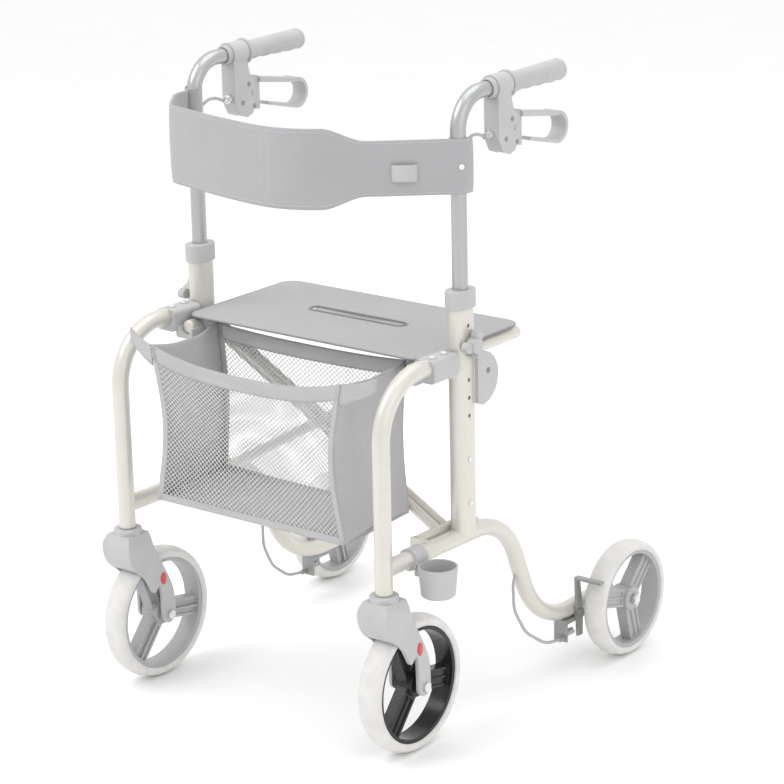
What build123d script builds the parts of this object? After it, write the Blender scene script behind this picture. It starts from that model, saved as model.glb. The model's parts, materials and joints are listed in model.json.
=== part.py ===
from build123d import *
import math
import os

# Four-wheeled folding walking frame (rollator), opened for use.
# Millimetres, +Z up, the front casters point to -Y and the hand grips to +Y.
# The origin is on the floor, under the middle of the whole frame.
# "Left" and "right" are the walking person's: left is +X.

# ---------------------------------------------------------------- layout
SIDE_X = 240.0            # half the spacing of the two side frames
POST_Y = -100.0           # uprights
LEG_Y = -283.0            # front legs and caster swivel axes
FRONT_AXLE_Y = -230.0
REAR_AXLE_Y = 241.0

# ---------------------------------------------------------------- side frame tubes
TUBE_R = 12.5
TUBE_WALL = 1.8
LEG_BOTTOM_Z = 249.0
LEG_ARCH_R = 85.0         # arch from the leg back to the post, to the tube's centre line
ARCH_CREST_Z = 546.0
ARCH_SLOPE = 15.0         # degrees below level where the arch runs into the post
RAIL_Z = 281.0            # level stretch of the lower tube
LOWER_BENDS = [104, 122]  # the two bends of its S, to the centre line
REAR_END_Y = 262.0        # rear end of the lower tube

POST_X_SIZE = 26.0
POST_Y_SIZE = 42.0
POST_CORNER_R = 12.4
POST_WALL = 1.6
POST_TOP_Z = 622.0
INDEX_HOLE_R = 3.0
INDEX_HOLES_Z = (589.0, 511.0, 485.0, 459.0)
RIVETS_Z = (395.0, 330.0)
RIVET_R = 4.2
RIVET_HEAD = 2.2

COLLAR_X_SIZE = 33.0
COLLAR_Y_SIZE = 49.0
COLLAR_BOTTOM_Z = 614.0
COLLAR_TOP_Z = 640.0

# ---------------------------------------------------------------- wheels
FRONT_WHEEL_R = 100.0
REAR_WHEEL_R = 89.0
TYRE_WIDTH = 36.0
RIM_SHARE = 0.848         # rim radius over tyre radius
AXLE_R = 5.0
RUNNING_GAP = 0.06
REAR_WHEEL_X = 286.0
SPOKE_COUNT = 3
SPOKE_W = 28.0
SPOKE_T = 18.0
FRONT_PHASE = 20.0        # degrees one spoke stands from straight up
REAR_PHASE = 75.0

# ---------------------------------------------------------------- casters
FORK_ARM_X = 21.5         # inner faces of the two fork arms from the wheel's middle
FORK_ARM_T = 6.0
FORK_CROWN_LOW_Z = 206.0
FORK_NECK_R = 21.0
FORK_EDGE_R = 2.0

# ---------------------------------------------------------------- handles
HANDLE_R = 11.0
HANDLE_BEND_R = 50.0
HANDLE_TOP_Z = 908.0
HANDLE_LOW_Z = 440.0
GRIP_START_Y = 9.0
GRIP_END_Y = 141.0

HOUSING_Y = (-23.0, 8.0)
LEVER_PIVOT = (17.0, 846.0)                 # Y, Z of the brake lever's pin
BARREL_POINT = (SIDE_X - 1.5, -23.0, 842.0) # where the cable adjuster meets the housing
CABLE_R = 2.3
CABLE_HOLE_Z = 838.0                        # where the brake cable enters the handle tube

# ---------------------------------------------------------------- wheel brake and clamp knobs
BRAKE_PIVOT = (162.0, 83.0)                 # Y, Z
BRAKE_ARM_X = (SIDE_X + 14.5, SIDE_X + 18.5)
ANCHOR_Y = 129.0
KNOB_Z = 562.0

# ---------------------------------------------------------------- folding brace
BRACE_FOOT_X = 218.0      # hinges beside the lower tubes
BRACE_FOOT_Z = 290.0
SEAT_RAIL_X = 205.0       # hinges round the seat rails
SEAT_RAIL_Z = 532.0
SEAT_RAIL_R = 10.0
SEAT_RAIL_Y = (-172.0, 78.0)
BRACE_PIVOT_Z = BRACE_FOOT_Z + (SEAT_RAIL_Z - BRACE_FOOT_Z) * BRACE_FOOT_X / (BRACE_FOOT_X + SEAT_RAIL_X)
BRACE_BAR_R = 7.0
BRACE_BAR_Y = {"front": (-128.5, -111.5), "rear": (-95.0, -78.0)}
SLEEVE_Y = (-182.0, -70.0)

# ---------------------------------------------------------------- soft parts
SEAT_X = 218.0
SEAT_Y = (-163.0, 76.0)
SEAT_LOW_Z = 545.2
SEAT_T = 3.2
SEAT_CORNER_R = 24.0
SLOT_Y = -30.0
SLOT_LENGTH = 176.0
SLOT_WIDTH = 20.0
BASKET_X = 176.0
BASKET_Y = (-284.0, -143.0)
BASKET_Z = (304.0, 524.0)
BASKET_WALL = 3.0
BAND_Z = 814.0
BAND_HEIGHT_MID = 112.0
BAND_HEIGHT_END = 76.0
BAND_T = 4.0
BAND_BENDS = (34, 190, 110)
BAND_NARROWS = {"left": (105, 150), "right": (-232, -250)}   # X where the full height ends, and the end height begins

os.makedirs("parts", exist_ok=True)


# ---------------------------------------------------------------- shape helpers
def cylinder(start, end, radius):
    """Round bar from one point to another."""
    a, b = Vector(*start), Vector(*end)
    return Solid.make_cylinder(radius, (b - a).length, Plane(origin=a, z_dir=b - a))


def block(low, high):
    """Box between two corners."""
    size = [h - l for l, h in zip(low, high)]
    middle = [(h + l) / 2 for l, h in zip(low, high)]
    return Pos(*middle) * Box(*size)


def swept_bar(points, bends, radius):
    """Round bar along straight runs joined by tangent bends."""
    path = FilletPolyline(*points, radius=bends)
    start = Plane(origin=path @ 0, z_dir=path % 0)
    return sweep(start * Circle(radius), path=path)


def bent_tube(points, bends, radius, wall):
    """Round tube along straight runs joined by tangent bends."""
    return swept_bar(points, bends, radius) - swept_bar(points, bends, radius - wall)


def side_plate(outline, x_low, x_high):
    """Plate with its outline in the Y-Z plane, between two X faces."""
    face = make_face(Polyline(*outline, close=True))
    plane = Plane(origin=(x_low, 0, 0), x_dir=(0, 1, 0), z_dir=(1, 0, 0))
    return extrude(plane * face, amount=x_high - x_low)


def upright_profile(x_size, y_size, corner, z_low, z_high):
    """Vertical bar of flat-oval section standing on the post's axis."""
    outline = RectangleRounded(x_size, y_size, corner)
    return extrude(Pos(SIDE_X, POST_Y, z_low) * outline, amount=z_high - z_low)


def group(*solids):
    """Several separate solids kept together under one name."""
    return Compound(children=[solid for solid in solids])


def mirrored(shape):
    return mirror(shape, about=Plane.YZ)


# ---------------------------------------------------------------- side frame
def leg_route():
    """Centre line of a front leg: straight up, over the arch, down to the post."""
    turn = math.radians(90 + ARCH_SLOPE)
    reach = LEG_ARCH_R * math.tan(turn / 2)
    corner_z = ARCH_CREST_Z - LEG_ARCH_R + reach
    run = POST_Y - LEG_Y
    return [
        (SIDE_X, LEG_Y, LEG_BOTTOM_Z),
        (SIDE_X, LEG_Y, corner_z),
        (SIDE_X, POST_Y, corner_z - run * math.tan(math.radians(ARCH_SLOPE))),
    ]


def lower_route():
    """Centre line of the lower tube: level rail, then an S down to the rear axle."""
    axle_z = REAR_WHEEL_R
    return [
        (SIDE_X, LEG_Y, RAIL_Z + 2),
        (SIDE_X, POST_Y + 97, RAIL_Z - 2),
        (SIDE_X, POST_Y + 174, axle_z - 4),
        (SIDE_X, REAR_END_Y, axle_z - 1),
    ]


def make_post():
    outer = upright_profile(POST_X_SIZE, POST_Y_SIZE, POST_CORNER_R, RAIL_Z, POST_TOP_Z)
    bore = upright_profile(
        POST_X_SIZE - 2 * POST_WALL,
        POST_Y_SIZE - 2 * POST_WALL,
        POST_CORNER_R - POST_WALL,
        RAIL_Z - 1,
        POST_TOP_Z + 1,
    )
    post = outer - bore - swept_bar(lower_route(), LOWER_BENDS, TUBE_R)
    for z in INDEX_HOLES_Z:
        post -= cylinder((SIDE_X + 5, POST_Y, z), (SIDE_X + 20, POST_Y, z), INDEX_HOLE_R)
    return post - knob_stud(INDEX_HOLE_R)


def make_front_leg():
    leg = bent_tube(leg_route(), [LEG_ARCH_R], TUBE_R, TUBE_WALL)
    return leg - upright_profile(POST_X_SIZE, POST_Y_SIZE, POST_CORNER_R, RAIL_Z, POST_TOP_Z)


def make_lower_tube():
    tube = bent_tube(lower_route(), LOWER_BENDS, TUBE_R, TUBE_WALL)
    tube -= swept_bar(leg_route(), [LEG_ARCH_R], TUBE_R)
    tube -= cylinder((0, REAR_AXLE_Y, REAR_WHEEL_R), (400, REAR_AXLE_Y, REAR_WHEEL_R), AXLE_R)
    return tube


def make_collar():
    skirt = upright_profile(COLLAR_X_SIZE, COLLAR_Y_SIZE, 16, COLLAR_BOTTOM_Z, COLLAR_TOP_Z)
    edges = skirt.edges().filter_by(GeomType.LINE, reverse=True).group_by(Axis.Z)[-1]
    skirt = fillet(edges, 2)
    seat = upright_profile(POST_X_SIZE, POST_Y_SIZE, POST_CORNER_R, COLLAR_BOTTOM_Z - 1, POST_TOP_Z)
    bore = cylinder((SIDE_X, POST_Y, POST_TOP_Z - 1), (SIDE_X, POST_Y, 700), HANDLE_R + 0.15)
    return skirt - seat - bore


def make_saddle():
    """Plastic clip over the leg's arch, with a cradle beside it for the seat rail."""
    y_low, y_high = POST_Y - 82, POST_Y - 26
    clip = block((SIDE_X - 19, y_low, 524), (SIDE_X + 16, y_high, 556))
    clip = fillet(clip.edges().filter_by(Axis.Y), 6)
    cradle = block((SEAT_RAIL_X - 14, y_low + 4, SEAT_RAIL_Z - 16), (SIDE_X - 17, y_low + 36, SEAT_RAIL_Z))
    cradle = fillet(cradle.edges().filter_by(Axis.Y).group_by(Axis.Z)[0], 4)
    body = clip + cradle
    gap = SEAT_RAIL_R + 0.4
    groove = cylinder((SEAT_RAIL_X, y_low - 5, SEAT_RAIL_Z), (SEAT_RAIL_X, y_high, SEAT_RAIL_Z), gap)
    mouth = block(
        (SEAT_RAIL_X - gap, y_low - 5, SEAT_RAIL_Z), (SEAT_RAIL_X + gap, y_high + 5, SEAT_RAIL_Z + 60)
    )
    return body - groove - mouth - swept_bar(leg_route(), [LEG_ARCH_R], TUBE_R)


def make_fasteners():
    """Rivets through the post and the clip's two screws."""
    solids = []
    face_x = SIDE_X + POST_X_SIZE / 2
    for z in RIVETS_Z:
        head = cylinder((face_x, POST_Y, z), (face_x + RIVET_HEAD, POST_Y, z), RIVET_R)
        solids.append(fillet(head.edges().group_by(Axis.X)[-1], 1.4))
    for y in (POST_Y - 66, POST_Y - 40):
        head = cylinder((SIDE_X, y, 556), (SIDE_X, y, 559.5), 5)
        solids.append(fillet(head.edges().group_by(Axis.Z)[-1], 1.5))
    return group(*solids)


def make_rear_axle():
    y, z = REAR_AXLE_Y, REAR_WHEEL_R
    inner = SIDE_X - TUBE_R - 1.0
    outer = REAR_WHEEL_X + TYRE_WIDTH / 2 + 1
    shaft = cylinder((inner, y, z), (outer + 5, y, z), AXLE_R - 0.02)
    head = Pos(inner - 5, y, z) * Rot(0, 90, 0) * extrude(RegularPolygon(8.5, 6), amount=5)
    nut = Pos(outer - 1, y, z) * Rot(0, 90, 0) * extrude(RegularPolygon(8.5, 6), amount=5)
    spacer_start = SIDE_X + TUBE_R + 0.6
    spacer = cylinder((spacer_start, y, z), (REAR_WHEEL_X - TYRE_WIDTH / 2 + 1.8, y, z), 9)
    return shaft + head + nut + spacer


# ---------------------------------------------------------------- accessories
def make_accessory_plate():
    """D-shaped plastic plate on the outer face of the left post."""
    x = SIDE_X + POST_X_SIZE / 2
    y0 = POST_Y + 13
    low, high, depth = 470, 546, 46
    line = Polyline((y0 + 10, low), (y0, low + 4), (y0, high - 2), (y0 + 20, high))
    bow = ThreePointArc((y0 + 20, high), (y0 + depth, high - 26), (y0 + 10, low))
    face = make_face(Curve() + [line, bow])
    plane = Plane(origin=(x, 0, 0), x_dir=(0, 1, 0), z_dir=(1, 0, 0))
    plate = extrude(plane * face, amount=6)
    hole = cylinder((x - 5, y0 + 24, 517), (x + 15, y0 + 24, 517), 4.5)
    return plate - hole


def make_cane_cup():
    """Cup for the tip of a walking stick, clipped to the lower tube."""
    x, y, top, low = SIDE_X + 42, POST_Y - 116, 278, 234
    cup = Pos(x, y, (top + low) / 2) * Cone(24, 28, top - low)
    cup = fillet(cup.edges().group_by(Axis.Z)[0], 5)
    hollow = Pos(x, y, (top + low) / 2 + 3) * Cone(21.2, 25.2, top - low)
    clip = cylinder((SIDE_X, y - 13, RAIL_Z + 0.5), (SIDE_X, y + 13, RAIL_Z), TUBE_R + 3.5)
    strut = block((SIDE_X + 8, y - 9, RAIL_Z - 22), (x - 20, y + 9, RAIL_Z - 6))
    body = cup + clip + strut
    return body - hollow - swept_bar(lower_route(), LOWER_BENDS, TUBE_R)


# ---------------------------------------------------------------- casters and wheels
def fork_side_view():
    """Outline from the side: a hood over the wheel, then an arm swept back to the axle."""
    y, axle_y, axle_z, eye = LEG_Y, FRONT_AXLE_Y, FRONT_WHEEL_R, 13.5
    front = Spline(
        (y - 21, 240),
        (y - 27, 226),
        (y - 27, 210),
        (y - 17, 190),
        (y + 8, 166),
        (y + 24, 142),
        (axle_y - eye, axle_z),
        tangents=[(-0.4, -1), (0, -1)],
    )
    low = ThreePointArc((axle_y - eye, axle_z), (axle_y, axle_z - eye), (axle_y + eye, axle_z))
    rear = Spline(
        (axle_y + eye, axle_z),
        (y + 63, 140),
        (y + 49, 172),
        (y + 34, 200),
        (y + 24, 222),
        (y + 21, 240),
        tangents=[(0, 1), (-0.1, 1)],
    )
    top = Line((y + 21, 240), (y - 21, 240))
    return make_face(Curve() + [front, low, rear, top])


def fork_front_view():
    """Outline from the front: the neck's width at the top, swelling to the arms."""
    wide, waist = FORK_ARM_X + FORK_ARM_T, FORK_NECK_R
    right = Spline((waist, 240), (wide - 1, 226), (wide, 208), (wide, 180), tangents=[(0.6, -1), (0, -1)])
    left = Spline((-waist, 240), (1 - wide, 226), (-wide, 208), (-wide, 180), tangents=[(-0.6, -1), (0, -1)])
    foot = Polyline((wide, 180), (wide, 80), (-wide, 80), (-wide, 180))
    return make_face(Curve() + [right, foot, left, Line((-waist, 240), (waist, 240))])


def make_fork():
    """One-piece moulded fork: hood, neck ring and two arms down to the axle."""
    wide = FORK_ARM_X + FORK_ARM_T
    side_plane = Plane(origin=(SIDE_X - wide, 0, 0), x_dir=(0, 1, 0), z_dir=(1, 0, 0))
    front_plane = Plane(origin=(SIDE_X, 0, 0), x_dir=(1, 0, 0), z_dir=(0, -1, 0))
    body = extrude(side_plane * fork_side_view(), amount=2 * wide)
    rims = [edge for face in body.faces().sort_by(Axis.X)[::len(body.faces()) - 1] for edge in face.edges()]
    body = fillet([edge for edge in rims if edge.center().Z < 238], FORK_EDGE_R)
    body &= extrude(front_plane * fork_front_view(), amount=500)
    wheel_space = cylinder(
        (SIDE_X - FORK_ARM_X, FRONT_AXLE_Y, FRONT_WHEEL_R),
        (SIDE_X + FORK_ARM_X, FRONT_AXLE_Y, FRONT_WHEEL_R),
        FRONT_WHEEL_R + 5,
    )
    ring = cylinder((SIDE_X, LEG_Y, 238), (SIDE_X, LEG_Y, LEG_BOTTOM_Z - 1.0), FORK_NECK_R)
    ring = fillet(ring.edges().group_by(Axis.Z)[-1], 3)
    fork = body - wheel_space + ring
    bore = cylinder((SIDE_X, LEG_Y, 200), (SIDE_X, LEG_Y, 260), 5)
    axle = cylinder(
        (SIDE_X - 60, FRONT_AXLE_Y, FRONT_WHEEL_R), (SIDE_X + 60, FRONT_AXLE_Y, FRONT_WHEEL_R), AXLE_R
    )
    return fork - bore - axle


def make_caster_stem():
    """Swivel bolt with its two bearing rings, held in the lower end of the leg."""
    bolt = cylinder((SIDE_X, LEG_Y, FORK_CROWN_LOW_Z), (SIDE_X, LEG_Y, 300), 4.98)
    stem = bolt
    for z in (254, 284):
        stem += cylinder((SIDE_X, LEG_Y, z), (SIDE_X, LEG_Y, z + 9), TUBE_R - TUBE_WALL - 0.1)
    return stem


def make_front_axle():
    y, z = FRONT_AXLE_Y, FRONT_WHEEL_R
    reach = FORK_ARM_X + FORK_ARM_T
    shaft = cylinder((SIDE_X - reach - 4, y, z), (SIDE_X + reach + 4, y, z), AXLE_R - 0.02)
    for side in (-1, 1):
        start = SIDE_X + side * reach - (5 if side < 0 else 0)
        shaft += Pos(start, y, z) * Rot(0, 90, 0) * extrude(RegularPolygon(7.5, 6), amount=5)
    return shaft


def make_hub(wheel_radius, x, y, phase):
    """Moulded hub: rim ring, centre boss and three broad channelled spokes."""
    rim = wheel_radius * RIM_SHARE
    width = TYRE_WIDTH - 6
    ring = cylinder((-width / 2, 0, 0), (width / 2, 0, 0), rim)
    ring -= cylinder((-width, 0, 0), (width, 0, 0), rim - 6)
    boss = cylinder((-width / 2, 0, 0), (width / 2, 0, 0), 18)
    boss = fillet(boss.edges(), 2)
    hub = ring + boss
    half_t, half_w = SPOKE_T / 2, SPOKE_W / 2
    for index in range(SPOKE_COUNT):
        spoke = block((-half_t, -half_w, 12), (half_t, half_w, rim - 4))
        for face in (-1, 1):
            depth = face * half_t
            spoke -= block((depth - 2, 4 - half_w, 21), (depth + 2, half_w - 4, rim - 7))
            spoke += block((depth - 3, -1.6, 14), (depth, 1.6, rim - 4))
        hub += Rot(phase + index * 360 / SPOKE_COUNT, 0, 0) * spoke
    hub -= cylinder((-width, 0, 0), (width, 0, 0), AXLE_R + RUNNING_GAP)
    return Pos(x, y, wheel_radius) * hub


def make_tyre(wheel_radius, x, y):
    rim = wheel_radius * RIM_SHARE
    half = TYRE_WIDTH / 2
    shoulder = wheel_radius - 7
    outline = Line((-half + 1, rim), (half - 1, rim))
    outline += Line((half - 1, rim), (half, shoulder))
    outline += ThreePointArc((half, shoulder), (0, wheel_radius), (-half, shoulder))
    outline += Line((-half, shoulder), (-half + 1, rim))
    tyre = revolve(make_face(outline), axis=Axis.X)
    return Pos(x, y, wheel_radius) * tyre


# ---------------------------------------------------------------- handles
def make_handle_tube():
    points = [
        (SIDE_X, POST_Y, HANDLE_LOW_Z),
        (SIDE_X, POST_Y, HANDLE_TOP_Z),
        (SIDE_X, GRIP_END_Y - 12, HANDLE_TOP_Z),
    ]
    tube = bent_tube(points, [HANDLE_BEND_R], HANDLE_R, 1.6)
    entry = cylinder((SIDE_X, POST_Y, CABLE_HOLE_Z), (SIDE_X, POST_Y + 20, CABLE_HOLE_Z), CABLE_R + 0.3)
    return tube - entry


def make_grip():
    """Shaped hand grip, closed over the end of the tube."""
    profile = [
        (GRIP_START_Y, 19.0),
        (GRIP_START_Y + 5, 19.5),
        (GRIP_START_Y + 9, 14.5),
        (GRIP_START_Y + 40, 14.5),
        (GRIP_END_Y - 45, 15.5),
        (GRIP_END_Y - 14, 16.0),
        (GRIP_END_Y - 3, 14.5),
        (GRIP_END_Y, 10.0),
    ]
    outline = Polyline((profile[0][0], 0), *profile, (profile[-1][0], 0), close=True)
    face = make_face(outline)
    turned = Plane(origin=(SIDE_X, 0, HANDLE_TOP_Z), x_dir=(0, 1, 0), z_dir=(1, 0, 0)) * face
    grip = revolve(turned, axis=Axis((SIDE_X, 0, HANDLE_TOP_Z), (0, 1, 0)))
    return grip - cylinder((SIDE_X, -50, HANDLE_TOP_Z), (SIDE_X, GRIP_END_Y - 12, HANDLE_TOP_Z), HANDLE_R)


def make_housing():
    """Brake lever housing: a clamp round the tube over a body with two cheeks."""
    y_low, y_high = HOUSING_Y
    clamp = cylinder((SIDE_X, y_low - 2, HANDLE_TOP_Z), (SIDE_X, y_high, HANDLE_TOP_Z), 17)
    body_outline = [
        (y_low, 908),
        (y_low, 836),
        (y_low + 10, 817),
        (y_low + 26, 811),
        (y_low + 38, 815),
        (y_low + 45, 826),
        (y_low + 45, 864),
        (y_low + 36, 872),
        (y_high, 888),
        (y_high, 908),
    ]
    body = side_plate(body_outline, SIDE_X - 12.5, SIDE_X + 12.5)
    corners = body.edges().filter_by(Axis.X).sort_by(Axis.Z)[0:8]
    body = fillet(corners, 3.5)
    slot = block((SIDE_X - 8.6, y_low + 19, 800), (SIDE_X + 8.6, y_low + 67, 874))
    pin_y, pin_z = LEVER_PIVOT
    pin_hole = cylinder((SIDE_X - 30, pin_y, pin_z), (SIDE_X + 30, pin_y, pin_z), 3.05)
    tube = cylinder((SIDE_X, y_low - 20, HANDLE_TOP_Z), (SIDE_X, y_high + 20, HANDLE_TOP_Z), HANDLE_R)
    return clamp + body - slot - pin_hole - tube


def make_lever():
    """Brake lever: a base between the housing's cheeks and an open finger loop."""
    pin_y, pin_z = LEVER_PIVOT
    base_outline = [
        (pin_y - 9, 822),
        (pin_y + 20, 818),
        (pin_y + 20, 868),
        (pin_y - 9, 864),
    ]
    base = side_plate(base_outline, SIDE_X - 8, SIDE_X + 8)
    pin = cylinder((SIDE_X - 14, pin_y, pin_z), (SIDE_X + 14, pin_y, pin_z), 3)
    top, low, end = 866, 808, POST_Y + 244
    outer = Polyline((pin_y + 17, top), (end - 27, top - 14))
    outer += ThreePointArc((end - 27, top - 14), (end, (top + low) / 2 - 8), (end - 27, low - 2))
    outer += Polyline((end - 27, low - 2), (pin_y + 34, low + 14), (pin_y + 34, low + 19))
    outer += Line((pin_y + 34, low + 19), (end - 29, low + 4))
    outer += ThreePointArc((end - 29, low + 4), (end - 6, (top + low) / 2 - 8), (end - 29, top - 20))
    outer += Polyline((end - 29, top - 20), (pin_y + 17, top - 7), (pin_y + 17, top))
    plane = Plane(origin=(SIDE_X - 12.5, 0, 0), x_dir=(0, 1, 0), z_dir=(1, 0, 0))
    loop = extrude(plane * make_face(outer), amount=25)
    return base + pin + loop


def make_barrel():
    """Threaded cable adjuster on the housing's front face."""
    x, y, z = BARREL_POINT
    nut = cylinder((x, y, z), (x, y - 6, z), 7.2)
    nose = cylinder((x, y - 6, z), (x, y - 15, z), 4.4)
    return nut + nose


def make_upper_cable():
    """Brake cable from the adjuster to the hole where it enters the tube."""
    x, y, z = BARREL_POINT
    points = [
        (x, y - 15, z),
        (x + 0.3, y - 30, z + 6),
        (x + 1.0, y - 46, z + 7),
        (SIDE_X, POST_Y + 8.5, z - 4),
    ]
    return swept_bar(points, [14, 22], 2.3)


# ---------------------------------------------------------------- parking brake at the wheel
def make_brake_arm():
    """Steel arm pivoted on the tube, with a blade that presses on the tyre."""
    y, z = BRAKE_PIVOT
    outline = [(y - 5, 46), (y + 7, 46), (y + 8, z), (y, 140), (y - 10, 140), (y - 7, z)]
    arm = side_plate(outline, *BRAKE_ARM_X)
    blade = block((BRAKE_ARM_X[0], y - 10, 137), (SIDE_X + 62, y, 141))
    arm += blade
    arm -= cylinder((SIDE_X, y, z), (SIDE_X + 40, y, z), 4.06)
    return arm


def make_brake_anchor():
    """Bracket under the tube that carries the arm's pivot bolt and stops the cable."""
    y, z = BRAKE_PIVOT
    strap = block((SIDE_X - 6, ANCHOR_Y, 44), (SIDE_X + 17, ANCHOR_Y + 3, 78))
    shelf = block((SIDE_X - 6, ANCHOR_Y, 70), (SIDE_X + 14, y + 6, 76))
    cheek = block((SIDE_X + 12, y - 8, 70), (SIDE_X + 14, y + 8, 92))
    bolt = cylinder((SIDE_X + 4, y, z), (BRAKE_ARM_X[1] + 0.4, y, z), 4)
    head = cylinder((BRAKE_ARM_X[1] + 0.4, y, z), (BRAKE_ARM_X[1] + 4.4, y, z), 7)
    ferrule = cylinder((SIDE_X + 10, ANCHOR_Y - 9, 50), (SIDE_X + 10, ANCHOR_Y, 50), 4)
    body = strap + shelf + cheek + bolt + head + ferrule
    body -= swept_bar(lower_route(), LOWER_BENDS, TUBE_R)
    return body


def make_lower_cable():
    """Brake cable from the hole in the lower tube round to the wheel brake."""
    points = [
        (SIDE_X, POST_Y + 128, 194),
        (SIDE_X, POST_Y + 117, 168),
        (SIDE_X + 1, POST_Y + 118, 128),
        (SIDE_X + 4, POST_Y + 142, 86),
        (SIDE_X + 9, POST_Y + 184, 56),
        (SIDE_X + 10, ANCHOR_Y - 9, 50),
    ]
    cable = swept_bar(points, [30, 45, 60, 60], 2.3)
    return cable - swept_bar(lower_route(), LOWER_BENDS, TUBE_R)


# ---------------------------------------------------------------- clamp knobs
def knob_stud(radius):
    inner = SIDE_X + HANDLE_R + 0.3
    return cylinder((inner, POST_Y, KNOB_Z), (SIDE_X + 22, POST_Y, KNOB_Z), radius)


def make_knob():
    """Three-lobed clamp knob with its threaded stud."""
    x = SIDE_X + POST_X_SIZE / 2 + 4
    knob = cylinder((x, POST_Y, KNOB_Z), (x + 13, POST_Y, KNOB_Z), 11)
    for angle in (60, 180, 300):
        dy = 15 * math.cos(math.radians(angle))
        dz = 15 * math.sin(math.radians(angle))
        knob += cylinder((x, POST_Y + dy, KNOB_Z + dz), (x + 11, POST_Y + dy, KNOB_Z + dz), 7.5)
    neck = cylinder((SIDE_X + POST_X_SIZE / 2 + 0.5, POST_Y, KNOB_Z), (x, POST_Y, KNOB_Z), 8)
    return knob + neck + knob_stud(INDEX_HOLE_R - 0.06)


# ---------------------------------------------------------------- folding brace and seat
def brace_bars(bar_y, foot_sign):
    """Two parallel bars from one lower hinge across to the opposite seat rail."""
    foot = (foot_sign * BRACE_FOOT_X, BRACE_FOOT_Z)
    head = (-foot_sign * SEAT_RAIL_X, SEAT_RAIL_Z)
    bars = None
    for y in bar_y:
        bar = cylinder((foot[0], y, foot[1]), (head[0], y, head[1]), BRACE_BAR_R)
        bars = bar if bars is None else bars + bar
    return bars


def make_brace(kind, foot_sign):
    bar_y = BRACE_BAR_Y[kind]
    foot_x = foot_sign * BRACE_FOOT_X
    head_x = -foot_sign * SEAT_RAIL_X
    brace = brace_bars(bar_y, foot_sign)
    brace += cylinder(
        (foot_x, SLEEVE_Y[0], BRACE_FOOT_Z), (foot_x, SLEEVE_Y[1], BRACE_FOOT_Z), 8
    )
    sleeve_low = min(bar_y) - 9
    sleeve_high = max(bar_y) + 9
    brace += cylinder((head_x, sleeve_low, SEAT_RAIL_Z), (head_x, sleeve_high, SEAT_RAIL_Z), 12.6)
    brace -= cylinder((foot_x, -400, BRACE_FOOT_Z), (foot_x, 100, BRACE_FOOT_Z), 4.06)
    brace -= cylinder((head_x, -400, SEAT_RAIL_Z), (head_x, 300, SEAT_RAIL_Z), SEAT_RAIL_R + 0.15)
    return brace - cylinder((0, -400, BRACE_PIVOT_Z), (0, 100, BRACE_PIVOT_Z), 4.06)


def make_brace_bolt():
    low, high = min(BRACE_BAR_Y["front"]) - 8, max(BRACE_BAR_Y["rear"]) + 8
    bolt = cylinder((0, low, BRACE_PIVOT_Z), (0, high, BRACE_PIVOT_Z), 4)
    bolt += cylinder((0, low - 4, BRACE_PIVOT_Z), (0, low, BRACE_PIVOT_Z), 7)
    return bolt + cylinder((0, high, BRACE_PIVOT_Z), (0, high + 4, BRACE_PIVOT_Z), 7)


def make_foot_hinge():
    """Hinge rod beside the lower tube, in two lugs welded to the tube."""
    x, z = BRACE_FOOT_X, BRACE_FOOT_Z
    low, high = SLEEVE_Y[0] - 6, SLEEVE_Y[1] + 6
    hinge = cylinder((x, low, z), (x, high, z), 4)
    for y in (low, high - 5):
        hinge += block((x - 6, y, z - 7), (SIDE_X, y + 5, z + 7))
    hinge -= swept_bar(lower_route(), LOWER_BENDS, TUBE_R)
    return hinge - upright_profile(POST_X_SIZE, POST_Y_SIZE, POST_CORNER_R, RAIL_Z, POST_TOP_Z)


def make_seat_rail():
    y_low, y_high = SEAT_RAIL_Y
    rail = cylinder((SEAT_RAIL_X, y_low, SEAT_RAIL_Z), (SEAT_RAIL_X, y_high, SEAT_RAIL_Z), SEAT_RAIL_R)
    rail = fillet(rail.edges().filter_by(GeomType.CIRCLE), 2.5)
    return rail


def make_seat():
    """Taut seat panel, with the slot its pull strap lies in."""
    depth = SEAT_Y[1] - SEAT_Y[0]
    middle = (SEAT_Y[0] + SEAT_Y[1]) / 2
    outline = RectangleRounded(2 * SEAT_X, depth, SEAT_CORNER_R)
    panel = extrude(Pos(0, middle, SEAT_LOW_Z) * outline, amount=SEAT_T)
    slot = extrude(Pos(0, SLOT_Y, SEAT_LOW_Z - 1) * SlotOverall(SLOT_LENGTH, SLOT_WIDTH), amount=SEAT_T + 2)
    return panel - slot


def make_basket():
    """Open fabric basket."""
    low = (-BASKET_X, BASKET_Y[0], BASKET_Z[0])
    high = (BASKET_X, BASKET_Y[1], BASKET_Z[1])
    wall = BASKET_WALL
    inner_low = (low[0] + wall, low[1] + wall, low[2] + wall)
    inner_high = (high[0] - wall, high[1] - wall, high[2] + 10)
    return block(low, high) - block(inner_low, inner_high)


# ---------------------------------------------------------------- back band
def band_route(inset):
    """Plan of the band, bowed forward of the uprights and fuller on the right."""
    half = SIDE_X - inset
    return [
        (-half, POST_Y - 12.2),
        (-half, POST_Y - 100 + inset),
        (-30, POST_Y - 140 + inset),
        (132 - 0.4 * inset, POST_Y - 116 + inset),
        (half - 0.9 * inset, POST_Y - 12.2),
    ]


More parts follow.
